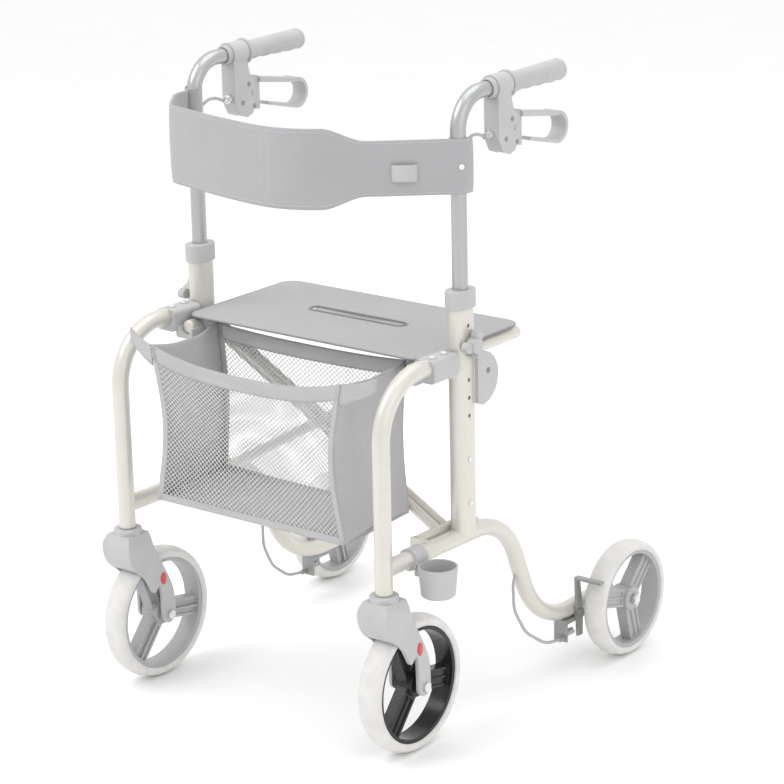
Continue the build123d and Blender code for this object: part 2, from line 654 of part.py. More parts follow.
def make_band():
    """Wide flexible strap across the front, riveted to both uprights."""
    outer = FilletPolyline(*band_route(0), radius=list(BAND_BENDS))
    inner = FilletPolyline(*band_route(BAND_T), radius=[bend - BAND_T for bend in BAND_BENDS])
    closing = [Line(outer @ 0, inner @ 0), Line(outer @ 1, inner @ 1)]
    plan = make_face(Curve() + [outer, inner] + closing)
    wall = extrude(Pos(0, 0, BAND_Z - BAND_HEIGHT_MID / 2) * plan, amount=BAND_HEIGHT_MID)
    end, mid = BAND_HEIGHT_END / 2, BAND_HEIGHT_MID / 2
    (left_wide, left_end), (right_wide, right_end) = BAND_NARROWS["left"], BAND_NARROWS["right"]
    lower = [(right_end, -end), (right_wide, -mid), (left_wide, -mid), (left_end, -end), (260, -end)]
    upper = [(x, -z) for x, z in reversed(lower)]
    plane = Plane(origin=(0, POST_Y + 50, BAND_Z), x_dir=(1, 0, 0), z_dir=(0, -1, 0))
    cutter = extrude(plane * make_face(Polyline(*lower, *upper, close=True)), amount=400)
    return wall & cutter


# ---------------------------------------------------------------- build and write
pairs = {
    "front_leg": make_front_leg(),
    "post": make_post(),
    "lower_tube": make_lower_tube(),
    "post_collar": make_collar(),
    "seat_saddle": make_saddle(),
    "frame_fasteners": make_fasteners(),
    "rear_axle": make_rear_axle(),
    "brake_anchor": make_brake_anchor(),
    "lower_cable": make_lower_cable(),
    "foot_hinge": make_foot_hinge(),
    "caster_fork": make_fork(),
    "caster_stem": make_caster_stem(),
    "front_axle": make_front_axle(),
    "front_hub": make_hub(FRONT_WHEEL_R, SIDE_X, FRONT_AXLE_Y, FRONT_PHASE),
    "front_tyre": make_tyre(FRONT_WHEEL_R, SIDE_X, FRONT_AXLE_Y),
    "rear_hub": make_hub(REAR_WHEEL_R, REAR_WHEEL_X, REAR_AXLE_Y, REAR_PHASE),
    "rear_tyre": make_tyre(REAR_WHEEL_R, REAR_WHEEL_X, REAR_AXLE_Y),
    "handle_tube": make_handle_tube(),
    "grip": make_grip(),
    "lever_housing": make_housing(),
    "brake_lever": make_lever(),
    "cable_barrel": make_barrel(),
    "upper_cable": make_upper_cable(),
    "brake_arm": make_brake_arm(),
    "clamp_knob": make_knob(),
    "seat_rail": make_seat_rail(),
}
singles = {
    "accessory_plate": make_accessory_plate(),
    "cane_cup": make_cane_cup(),
    "front_brace": make_brace("front", 1),
    "rear_brace": make_brace("rear", -1),
    "brace_bolt": make_brace_bolt(),
    "seat_panel": make_seat(),
    "basket": make_basket(),
    "back_band": make_band(),
}

for name, shape in pairs.items():
    export_step(shape, f"parts/{name}_left.step")
    export_step(mirrored(shape), f"parts/{name}_right.step")
for name, shape in singles.items():
    export_step(shape, f"parts/{name}.step")
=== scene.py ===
import bpy
import bmesh
import json
import math
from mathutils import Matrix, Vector


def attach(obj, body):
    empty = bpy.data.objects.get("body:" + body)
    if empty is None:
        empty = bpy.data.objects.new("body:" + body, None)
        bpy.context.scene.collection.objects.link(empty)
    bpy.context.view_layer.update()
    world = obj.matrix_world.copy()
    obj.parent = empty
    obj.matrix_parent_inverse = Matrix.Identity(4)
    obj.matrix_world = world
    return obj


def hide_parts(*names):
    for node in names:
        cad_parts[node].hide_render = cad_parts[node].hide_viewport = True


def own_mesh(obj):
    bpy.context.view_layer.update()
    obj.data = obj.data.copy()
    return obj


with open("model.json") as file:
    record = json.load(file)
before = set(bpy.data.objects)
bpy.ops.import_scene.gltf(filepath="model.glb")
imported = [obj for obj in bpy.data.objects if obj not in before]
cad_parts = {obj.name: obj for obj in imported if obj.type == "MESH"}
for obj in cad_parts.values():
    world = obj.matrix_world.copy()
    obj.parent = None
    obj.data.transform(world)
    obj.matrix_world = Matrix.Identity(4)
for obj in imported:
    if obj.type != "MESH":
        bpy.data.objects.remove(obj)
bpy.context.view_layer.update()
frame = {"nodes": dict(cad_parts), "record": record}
NODES = frame["nodes"]

SIDES = {"left": 1, "right": -1}  # the walking person's sides, as the sign of X
SIDE_X = 0.240                    # a side frame's middle plane
POST_Y = -0.100
LEG_Y = -0.283
FRONT_AXLE = (-0.230, 0.100)  # Y, Z
REAR_AXLE = (0.241, 0.089)
REAR_WHEEL_X = 0.286
HANDLE_TOP_Z = 0.908
SEAT_TOP_Z = 0.5484
BAND_Z = 0.814
CAMERA_TURN = (72.9774, 1.2263, 38.1019)      # degrees: tilt up from straight down, roll, turn round Z


# ---------------------------------------------------------------- camera, light and floor
def make_camera():
    data = bpy.data.cameras.new("camera")
    data.lens = 130.0
    data.sensor_width = 36.0
    data.clip_end = 60
    camera = bpy.data.objects.new("camera", data)
    camera.location = (2.50724, -3.10846, 1.64623)
    camera.rotation_euler = [math.radians(angle) for angle in CAMERA_TURN]
    bpy.context.scene.collection.objects.link(camera)
    bpy.context.scene.camera = camera


def area_light(name, place, target, size, power):
    data = bpy.data.lights.new(name, "AREA")
    data.size = size
    data.energy = power
    light = bpy.data.objects.new(name, data)
    light.location = place
    light.rotation_euler = (Vector(target) - Vector(place)).to_track_quat("-Z", "Y").to_euler()
    bpy.context.scene.collection.objects.link(light)


def make_studio():
    scene = bpy.context.scene
    scene.view_settings.view_transform = "Standard"
    world = bpy.data.worlds.new("studio")
    world.use_nodes = True
    world.node_tree.nodes["Background"].inputs["Color"].default_value = (1, 1, 1, 1)
    world.node_tree.nodes["Background"].inputs["Strength"].default_value = 0.98
    scene.world = world
    area_light("key", (-1.2, -1.6, 2.8), (0, 0, 0.4), 1.8, 30)
    area_light("fill", (2.6, -0.6, 1.6), (0, 0, 0.5), 2.2, 8)
    area_light("top", (0.2, 0.6, 3.2), (0, 0, 0.3), 2.4, 22)
    mesh = bpy.data.meshes.new("floor")
    reach = 14
    corners = ((-reach, -reach), (reach, -reach), (reach, reach), (-reach, reach))
    mesh.from_pydata([(x, y, 0) for x, y in corners], [], [(0, 1, 2, 3)])
    floor = bpy.data.objects.new("floor", mesh)
    scene.collection.objects.link(floor)
    paper = surface("floor_paper", (0.97, 0.97, 0.97), 0.75, mottle=(6, 0.01), grain=(300, 0.02))
    mesh.materials.append(paper)


# ---------------------------------------------------------------- materials
def surface(name, color, rough, metallic=0.0, coat=0.0, sheen=0.0, mottle=(18, 0.05), grain=(900, 0.12),
            stretch=(1, 1, 1), wear=0.0, edge=0.0, weave=0.0, weave_depth=0.5, specular=0.5):
    """Procedural material: mottled colour, fine grain, softened and slightly worn edges, optional weave."""
    material = bpy.data.materials.new(name)
    material.use_nodes = True
    tree = material.node_tree
    shader = tree.nodes["Principled BSDF"]
    shader.inputs["Metallic"].default_value = metallic
    shader.inputs["Coat Weight"].default_value = coat
    shader.inputs["Coat Roughness"].default_value = 0.18
    shader.inputs["Sheen Weight"].default_value = sheen
    shader.inputs["Sheen Roughness"].default_value = 0.5
    shader.inputs["Specular IOR Level"].default_value = specular
    place = tree.nodes.new("ShaderNodeTexCoord")
    mapping = tree.nodes.new("ShaderNodeMapping")
    mapping.inputs["Scale"].default_value = stretch
    tree.links.new(place.outputs["Object"], mapping.inputs["Vector"])

    def noise(scale, detail=3.0):
        node = tree.nodes.new("ShaderNodeTexNoise")
        node.inputs["Scale"].default_value = scale
        node.inputs["Detail"].default_value = detail
        tree.links.new(mapping.outputs["Vector"], node.inputs["Vector"])
        return node.outputs["Fac"]

    def ranged(value, low, high, start=0.25, end=0.75):
        node = tree.nodes.new("ShaderNodeMapRange")
        node.inputs["From Min"].default_value = start
        node.inputs["From Max"].default_value = end
        node.inputs["To Min"].default_value = low
        node.inputs["To Max"].default_value = high
        tree.links.new(value, node.inputs["Value"])
        return node.outputs["Result"]

    def mixed(share, first, second):
        node = tree.nodes.new("ShaderNodeMix")
        node.data_type = "RGBA"
        tree.links.new(share, node.inputs["Factor"])
        for socket, value in ((node.inputs[6], first), (node.inputs[7], second)):
            if isinstance(value, tuple):
                socket.default_value = (*value, 1)
            else:
                tree.links.new(value, socket)
        return node.outputs[2]

    scale, amount = mottle
    dark = tuple(c * (1 - amount) for c in color)
    light = tuple(min(1, c * (1 + amount)) for c in color)
    tint = mixed(ranged(noise(scale), 0, 1), dark, light)
    height = noise(grain[0])
    bump = tree.nodes.new("ShaderNodeBump")
    bump.inputs["Strength"].default_value = grain[1]
    bump.inputs["Distance"].default_value = 0.0004
    if weave:
        total = None
        for direction in "XYZ":
            wave = tree.nodes.new("ShaderNodeTexWave")
            wave.bands_direction = direction
            wave.inputs["Scale"].default_value = weave
            wave.inputs["Distortion"].default_value = 0.3
            tree.links.new(place.outputs["Object"], wave.inputs["Vector"])
            if total is None:
                total = wave.outputs["Fac"]
                continue
            add = tree.nodes.new("ShaderNodeMath")
            tree.links.new(total, add.inputs[0])
            tree.links.new(wave.outputs["Fac"], add.inputs[1])
            total = add.outputs[0]
        tint = mixed(ranged(total, 0, 0.35, 0.6, 2.4), tint, tuple(c * 0.8 for c in color))
        height = total
        bump.inputs["Strength"].default_value = weave_depth
    tree.links.new(height, bump.inputs["Height"])
    if edge:
        bevel = tree.nodes.new("ShaderNodeBevel")
        bevel.samples = 4
        bevel.inputs["Radius"].default_value = edge
        tree.links.new(bevel.outputs["Normal"], bump.inputs["Normal"])
        if wear:
            true = tree.nodes.new("ShaderNodeNewGeometry")
            dot = tree.nodes.new("ShaderNodeVectorMath")
            dot.operation = "DOT_PRODUCT"
            tree.links.new(bevel.outputs["Normal"], dot.inputs[0])
            tree.links.new(true.outputs["Normal"], dot.inputs[1])
            worn = tuple(min(1, c * 1.25 + 0.06) for c in color)
            tint = mixed(ranged(dot.outputs["Value"], wear, 0, 0.8, 0.99), tint, worn)
    tree.links.new(tint, shader.inputs["Base Color"])
    polish = ranged(noise(scale * 4), max(0.04, rough - 0.06), min(1, rough + 0.06))
    tree.links.new(polish, shader.inputs["Roughness"])
    tree.links.new(bump.outputs["Normal"], shader.inputs["Normal"])
    return material


MATERIALS = {
    "frame": surface("champagne_paint", (0.66, 0.64, 0.585), 0.34, metallic=0.35, coat=0.3,
                     mottle=(24, 0.02), grain=(240, 0.02)),
    "plastic": surface("moulded_plastic", (0.475, 0.475, 0.48), 0.46, mottle=(30, 0.04), grain=(1500, 0.16),
                       edge=0.0012, wear=0.35),
    "grip": surface("soft_grip_rubber", (0.445, 0.445, 0.45), 0.6, mottle=(40, 0.05), grain=(1800, 0.3),
                    sheen=0.15),
    "hardware": surface("plated_steel", (0.76, 0.76, 0.77), 0.22, metallic=0.9, mottle=(80, 0.05),
                        grain=(1200, 0.04), edge=0.0005, wear=0.2),
    "black_steel": surface("painted_bracket_steel", (0.30, 0.31, 0.30), 0.4, metallic=0.2, coat=0.2,
                           mottle=(50, 0.06), grain=(1600, 0.12), edge=0.0005, wear=0.4),
    "cable": surface("cable_sheath", (0.42, 0.42, 0.43), 0.45, mottle=(60, 0.05), grain=(1500, 0.1)),
    "inner_tube": surface("anodised_tube", (0.46, 0.465, 0.47), 0.3, metallic=0.75, mottle=(50, 0.03),
                          grain=(900, 0.06), stretch=(1, 1, 0.05)),
    "black_hub": surface("gloss_black_hub", (0.017, 0.017, 0.019), 0.24, coat=0.12, specular=0.3,
                         mottle=(30, 0.1), grain=(900, 0.04), edge=0.0016, wear=0.08),
    "hub": surface("moulded_hub", (0.42, 0.42, 0.43), 0.4, mottle=(30, 0.04), grain=(1300, 0.12),
                   edge=0.0016, wear=0.35),
    "tyre": surface("soft_tyre", (0.69, 0.68, 0.665), 0.66, mottle=(55, 0.07), grain=(700, 0.45)),
    "seat": surface("seat_weave", (0.42, 0.42, 0.43), 0.6, mottle=(14, 0.04), weave=260, sheen=0.1),
    "basket": surface("basket_nylon", (0.49, 0.49, 0.50), 0.66, mottle=(16, 0.05), weave=320, sheen=0.2),
    "band": surface("band_fabric", (0.40, 0.40, 0.41), 0.58, mottle=(12, 0.04), weave=420, weave_depth=0.3,
                    sheen=0.25),
}
EXTRA = {
    "seat_hem": surface("seat_edge_binding", (0.30, 0.30, 0.31), 0.6, mottle=(20, 0.06), weave=500,
                        sheen=0.1),
    "webbing": surface("grey_webbing", (0.54, 0.54, 0.545), 0.6, mottle=(20, 0.05), weave=500, sheen=0.1),
    "mesh_cord": surface("net_yarn", (0.66, 0.66, 0.67), 0.62, mottle=(60, 0.08), grain=(2400, 0.3),
                         sheen=0.1),
    "thread": surface("stitch_thread", (0.52, 0.52, 0.53), 0.6, mottle=(80, 0.1), grain=(3000, 0.4)),
    "reflector": surface("red_reflector", (0.62, 0.05, 0.05), 0.16, coat=0.6, mottle=(300, 0.25),
                         grain=(700, 0.5)),
    "spring": surface("spring_wire", (0.55, 0.55, 0.56), 0.3, metallic=0.9, mottle=(100, 0.1),
                      grain=(2000, 0.1)),
    "white_trim": surface("white_trim", (0.85, 0.85, 0.85), 0.35, mottle=(40, 0.02), grain=(900, 0.06)),
}


def paint_cad_nodes():
    slots = {part["node"]: part["material_slot"] for part in frame["record"]["subparts"]}
    for name, node in NODES.items():
        node.data.materials.clear()
        node.data.materials.append(MATERIALS[slots[name]])


# ---------------------------------------------------------------- mesh helpers
def piece(name, mesh, body, slot, material=None):
    """A finished piece: on its body, with the given material, or else its slot's material."""
    thing = bpy.data.objects.new(name, mesh)
    bpy.context.scene.collection.objects.link(thing)
    mesh.materials.append(material or MATERIALS[slot])
    mesh.shade_smooth()
    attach(thing, body)
    return thing


def mesh_from(name, vertices, faces):
    mesh = bpy.data.meshes.new(name)
    mesh.from_pydata([tuple(v) for v in vertices], [], faces)
    work = bmesh.new()
    work.from_mesh(mesh)
    bmesh.ops.recalc_face_normals(work, faces=work.faces)
    work.to_mesh(mesh)
    work.free()
    return mesh


def rings(name, loops, closed=False, caps=True):
    """Skin through loops of equally many points."""
    count = len(loops[0])
    faces = []
    for row in range(len(loops) if closed else len(loops) - 1):
        below = row * count
        above = ((row + 1) % len(loops)) * count
        for i in range(count):
            j = (i + 1) % count
            faces.append((below + i, below + j, above + j, above + i))
    if caps and not closed:
        faces.append(tuple(range(count)))
        faces.append(tuple(range((len(loops) - 1) * count, len(loops) * count)))
    return mesh_from(name, [p for loop in loops for p in loop], faces)


def lathe(name, profile, centre, axis, segments=96, closed=False):
    """Turned shape: profile of (along, radius) round an axis, 'X' or 'Y', through centre."""
    loops = []
    for along, radius in profile:
        loop = []
        for i in range(segments):
            turn = 2 * math.pi * i / segments
            u, v = radius * math.cos(turn), radius * math.sin(turn)
            offset = (along, u, v) if axis == "X" else (u, along, v)
            loop.append(Vector(centre) + Vector(offset))
        loops.append(loop)
    return rings(name, loops, closed=closed)


def route_points(points, resolution=10):
    """Points read from the smooth curve that the given control points guide."""
    data = bpy.data.curves.new("route", "CURVE")
    data.dimensions = "3D"
    data.resolution_u = resolution
    spline = data.splines.new("NURBS")
    spline.points.add(len(points) - 1)
    for point, place in zip(spline.points, points):
        point.co = (*place, 1)
    spline.order_u = 3
    spline.use_endpoint_u = True
    thing = bpy.data.objects.new("route", data)
    mesh = bpy.data.meshes.new_from_object(thing)
    result = [v.co.copy() for v in mesh.vertices]
    bpy.data.objects.remove(thing)
    bpy.data.meshes.remove(mesh)
    return result


def tube_mesh(name, points, radius, segments=12):
    """Round tube whose sections turn with the line they follow."""
    loops = []
    side = None
    for i, point in enumerate(points):
        ahead = points[min(i + 1, len(points) - 1)] - points[max(i - 1, 0)]
        ahead.normalize()
        if side is None:
            side = ahead.orthogonal().normalized()
        side = (side - ahead * side.dot(ahead)).normalized()
        other = ahead.cross(side)
        loops.append([
            point + (side * math.cos(a) + other * math.sin(a)) * radius
            for a in (2 * math.pi * k / segments for k in range(segments))
        ])
    return rings(name, loops)


def sheet_mesh(name, columns, rows, place, thickness):
    """Closed cloth panel: place(u, v) gives a point and its outward direction."""
    front, back = [], []
    for j in range(rows + 1):
        for i in range(columns + 1):
            point, out = place(i / columns, j / rows)
            front.append(Vector(point) + Vector(out) * thickness / 2)
            back.append(Vector(point) - Vector(out) * thickness / 2)
    width = columns + 1
    total = len(front)
    faces = []
    for j in range(rows):
        for i in range(columns):
            a = j * width + i
            faces.append((a, a + 1, a + width + 1, a + width))
            faces.append((total + a, total + a + width, total + a + width + 1, total + a + 1))
    border = [i for i in range(width)]
    border += [j * width + columns for j in range(1, rows + 1)]
    border += [rows * width + i for i in range(columns - 1, -1, -1)]
    border += [j * width for j in range(rows - 1, 0, -1)]
    for a, b in zip(border, border[1:] + border[:1]):
        faces.append((a, b, total + b, total + a))
    return mesh_from(name, front + back, faces)


def smoothstep(t):
    t = max(0.0, min(1.0, t))
    return t * t * (3 - 2 * t)


# ---------------------------------------------------------------- wheels
def make_tyre(name, body, centre, radius, tread):
    """Soft tyre with rounded shoulders, two thin side ribs and shallow tread blocks."""
    half, rim = 0.018, radius * 0.848
    shoulder = radius - 0.007
    profile = [
        (-half + 0.001, rim), (-half + 0.0002, rim + 0.0012), (-half + 0.0004, rim + 0.003),
        (-half, rim + 0.0036), (-half, shoulder - 0.001), (-half + 0.0006, shoulder + 0.0008),
        (-half + 0.004, radius - 0.0034), (-half + 0.009, radius - 0.0012), (0, radius),
    ]
    profile += [(-along, r) for along, r in reversed(profile[:-1])]
    segments = 192
    mesh = lathe(name, profile + [(0, rim)], centre, "X", segments=segments, closed=True)
    middle = Vector(centre)
    for vertex in mesh.vertices:
        out = vertex.co - middle
        across, out.x = out.x, 0
        if out.length > radius - 0.0045:
            turn = math.atan2(out.z, out.y)
            groove = math.sin(turn * tread + (2.4 if across > 0 else 0) + across * 160)
            vertex.co -= out.normalized() * 0.0006 * smoothstep((groove - 0.55) * 4) * (abs(across) > 0.003)
    tyre = piece(name, mesh, body, "tyre")
    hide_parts(name.replace("soft_", ""))


def make_wheels():
    for side, sign in SIDES.items():
        y, z = FRONT_AXLE
        make_tyre(f"soft_front_tyre_{side}", f"{side}_front_wheel", (sign * SIDE_X, y, z), 0.100, 48)
        y, z = REAR_AXLE
        make_tyre(f"soft_rear_tyre_{side}", f"{side}_rear_wheel", (sign * REAR_WHEEL_X, y, z), 0.089, 44)


# ---------------------------------------------------------------- grips and small trim
def make_grip(side, sign):
    """Shaped hand grip: a thumb flange and finger swells along the underside."""
    swell_from, swell_to, swell_depth = 0.024, 0.133, 0.0006
    stations = [
        (0.0092, 0.0150), (0.0096, 0.0184), (0.0110, 0.0194), (0.0132, 0.0195), (0.0146, 0.0186),
        (0.0162, 0.0158), (0.0190, 0.0147), (0.0400, 0.0145), (0.0600, 0.0148), (0.0800, 0.0152),
        (0.1000, 0.0156), (0.1180, 0.0159), (0.1270, 0.0160), (0.1350, 0.0156), (0.1380, 0.0146),
        (0.1402, 0.0128), (0.1410, 0.0098),
    ]
    loops = []
    for (y, radius), (y_next, radius_next) in zip(stations, stations[1:] + stations[-1:]):
        steps = 1 if y_next - y < 0.006 else 6
        for step in range(steps):
            share = step / steps
            along, r = y + (y_next - y) * share, radius + (radius_next - radius) * share
            ribbed = swell_from < along < swell_to
            wave = math.sin((along - swell_from) / (swell_to - swell_from) * 8 * math.pi)
            loop = []
            for i in range(48):
                turn = 2 * math.pi * i / 48
                under = max(0, -math.sin(turn))
                width = r - swell_depth * ribbed * (1 - wave * under)
                x = sign * SIDE_X + width * math.cos(turn)
                loop.append((x, along, HANDLE_TOP_Z + width * math.sin(turn)))
            loops.append(loop)
    grip = piece(f"shaped_grip_{side}", rings(f"shaped_grip_{side}", loops), f"{side}_handle", "grip")
    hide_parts(f"grip_{side}")


def disc_mesh(name, centre, axis, radius, height, dome=0.0, oval=1.0, segments=32):
    """Round or oval button standing on a face, with a rolled edge."""
    out = Vector(axis).normalized()
    side = Vector((0, 0, 1)) if abs(out.z) < 0.9 else Vector((0, 1, 0))
    side = (side - out * side.dot(out)).normalized()
    other = out.cross(side)
    loops = []
    for share, lift in ((1, 0), (1, 0.55), (0.94, 0.85), (0.82, 1), (0.45, 1 + dome * 0.7), (0.08, 1 + dome)):
        loops.append([
            Vector(centre) + out * height * lift
            + side * radius * share * oval * math.cos(a) + other * radius * share * math.sin(a)
            for a in (2 * math.pi * k / segments for k in range(segments))
        ])
    return rings(name, loops)


def make_trim():
    for side, sign in SIDES.items():
        for inner in (-1, 1):
            x = sign * (SIDE_X + inner * 0.0276)
            name = f"fork_reflector_{side}_{'outer' if inner > 0 else 'inner'}"
            place = (x, LEG_Y + 0.042, 0.160)
            mesh = disc_mesh(name, place, (sign * inner, 0.0, 0), 0.0055, 0.0018, dome=0.5, oval=1.7)
            piece(name, mesh, f"{side}_caster", "hub", EXTRA["reflector"])
        for index, (y, z) in enumerate(((0.009, 0.860), (-0.006, 0.834), (0.020, 0.826))):
            for face in (-1, 1):
                name = f"lever_screw_{side}_{index}_{'outer' if face > 0 else 'inner'}"
                place = (sign * (SIDE_X + face * 0.0124), y, z)
                mesh = disc_mesh(name, place, (sign * face, 0, 0), 0.0034, 0.0012, dome=0.3)
                piece(name, mesh, f"{side}_handle", "hardware", EXTRA["seat_hem"])
        profile = [
            (-0.0335, 0.0114), (-0.0335, 0.0134), (-0.0325, 0.0142), (-0.0300, 0.0142), (-0.0292, 0.0136),
            (-0.0284, 0.0142), (-0.0262, 0.0144), (-0.0252, 0.0150), (-0.0252, 0.0114),
        ]
        ring = lathe(f"clamp_ring_{side}", profile, (sign * SIDE_X, 0, HANDLE_TOP_Z), "Y", 64, closed=True)
        piece(f"clamp_ring_{side}", ring, f"{side}_handle", "plastic")
        spring_points = []
        for step in range(181):
            turn = step / 180 * 9 * 2 * math.pi
            along = step / 180
            spring_points.append(Vector((
                sign * (SIDE_X + 0.010 + 0.0045 * math.cos(turn)),
                0.1335 + along * 0.020,
                0.055 + 0.0045 * math.sin(turn),
            )))
        piece(f"brake_spring_{side}", tube_mesh(f"brake_spring_{side}", spring_points, 0.0007, 8),
              f"{side}_frame", "hardware", EXTRA["spring"])


# ---------------------------------------------------------------- seat
def make_seat():
    """Taut seat panel: a thin slab with a bound edge, hardly sagging between its rails."""
    half_x, y_low, y_high = 0.2175, -0.1625, 0.0755
    slot_half, slot_r, slot_y = 0.088, 0.010, -0.030
    corner = 0.024
    middle_y = (y_low + y_high) / 2
    columns, rows = 160, 96
    low, top = 0.5454, SEAT_TOP_Z - 0.0002

    def rounded(x, y):
        """Pulls the grid's corner points in to the panel's rounded corners."""
        cx, cy = half_x - corner, (y_high - y_low) / 2 - corner
        dx, dy = abs(x) - cx, abs(y - middle_y) - cy
        if dx > 0 and dy > 0:
            reach = math.hypot(dx, dy)
            limit = max(dx, dy)
            x = math.copysign(cx + dx / reach * limit, x)
            y = middle_y + math.copysign(cy + dy / reach * limit, y - middle_y)
        return x, y

    def place(u, v):
        x, y = rounded(-half_x + 2 * half_x * u, y_low + (y_high - y_low) * v)
        sag = 0.0008 * (1 - (x / half_x) ** 2) * (1 - ((y - middle_y) / 0.12) ** 2)
        return (x, y, (low + top) / 2 - sag), (0, 0, 1)

    mesh = sheet_mesh("seat_cover", columns, rows, place, 0.0024)
    work = bmesh.new()
    work.from_mesh(mesh)
    inside = [
        face for face in work.faces
        if max(abs(v.co.y - slot_y) for v in face.verts) < slot_r + 0.0008
        and max(abs(v.co.x) for v in face.verts) < slot_half + 0.0008
    ]
    bmesh.ops.delete(work, geom=inside, context="FACES")
    open_edges = [edge for edge in work.edges if edge.is_boundary]
    bmesh.ops.bridge_loops(work, edges=open_edges)
    bmesh.ops.recalc_face_normals(work, faces=work.faces)
    work.to_mesh(mesh)
    work.free()
    seat = piece("seat_cover", mesh, "left_seat_rail", "seat")
    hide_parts("seat_panel")

    hem_points = []
    cx, cy = half_x - corner, (y_high - y_low) / 2 - corner
    for qx, qy, start in ((1, 1, 0), (-1, 1, 90), (-1, -1, 180), (1, -1, 270)):
        for step in range(13):
            turn = math.radians(start + step * 7.5)
            hem_points.append(Vector((
                qx * cx + corner * math.cos(turn) * 0.985,
                middle_y + qy * cy + corner * math.sin(turn) * 0.985,
                (low + top) / 2,
            )))
    hem_mesh = closed_tube("seat_edge", hem_points, 0.0015, 10)
    hem = piece("seat_edge", hem_mesh, "left_seat_rail", "seat", EXTRA["seat_hem"])

    rim_points = []
    for qx, start in ((1, -90), (-1, 90)):
        for step in range(13):
            turn = math.radians(start + step * 15)
            rim_points.append(Vector((
                qx * (slot_half - slot_r) + slot_r * math.cos(turn),
                slot_y + slot_r * math.sin(turn),
                top - 0.0004,
            )))
    rim_mesh = closed_tube("slot_edge", rim_points, 0.0014, 10)
    rim = piece("slot_edge", rim_mesh, "left_seat_rail", "seat", EXTRA["seat_hem"])

    def strap_place(u, v):
        x = -0.080 + 0.160 * u
        y = slot_y - 0.009 + 0.018 * v
        dip = 0.0012 * math.cos(math.pi * (u - 0.5))
        return (x, y, SEAT_TOP_Z - 0.0024 - dip), (0, 0, 1)

    strap_mesh = sheet_mesh("pull_strap", 40, 6, strap_place, 0.0014)
    strap = piece("pull_strap", strap_mesh, "left_seat_rail", "seat")
    for thing in (seat, hem, rim, strap):
        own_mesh(thing)


def closed_tube(name, points, radius, segments=10):
    """Round cord closed on itself, lying level."""
    loops = []
    count = len(points)
    for i, point in enumerate(points):
        ahead = (points[(i + 1) % count] - points[i - 1]).normalized()
        up = Vector((0, 0, 1))
        out = ahead.cross(up).normalized()
        loops.append([
            point + (out * math.cos(a) + up * math.sin(a)) * radius
            for a in (2 * math.pi * k / segments for k in range(segments))
        ])
    return rings(name, loops, closed=True, caps=False)


# ---------------------------------------------------------------- back band
def band_line():
    """Plan of the band's middle line, from the right tube to the left one."""
    z = BAND_Z
    return route_points([
        (-0.2385, -0.1140, z), (-0.2385, -0.1300, z), (-0.2340, -0.1480, z), (-0.2180, -0.1680, z),
        (-0.1920, -0.2030, z), (-0.1800, -0.2110, z), (-0.1450, -0.2190, z), (-0.0900, -0.2330, z),
        (-0.0400, -0.2430, z), (0.0100, -0.2510, z), (0.0480, -0.2500, z), (0.0830, -0.2370, z),
        (0.1100, -0.2180, z), (0.1500, -0.1880, z), (0.1850, -0.1600, z), (0.2150, -0.1340, z),
        (0.2320, -0.1190, z), (0.2440, -0.1120, z), (0.2530, -0.1020, z), (0.2520, -0.0860, z),
    ], 12)


def band_half_height(x):
    """Half the band's height: wide across the middle, narrow at the left end."""
    share = smoothstep((x - 0.100) / 0.050)
    return 0.0560 * (1 - share) + 0.0383 * share


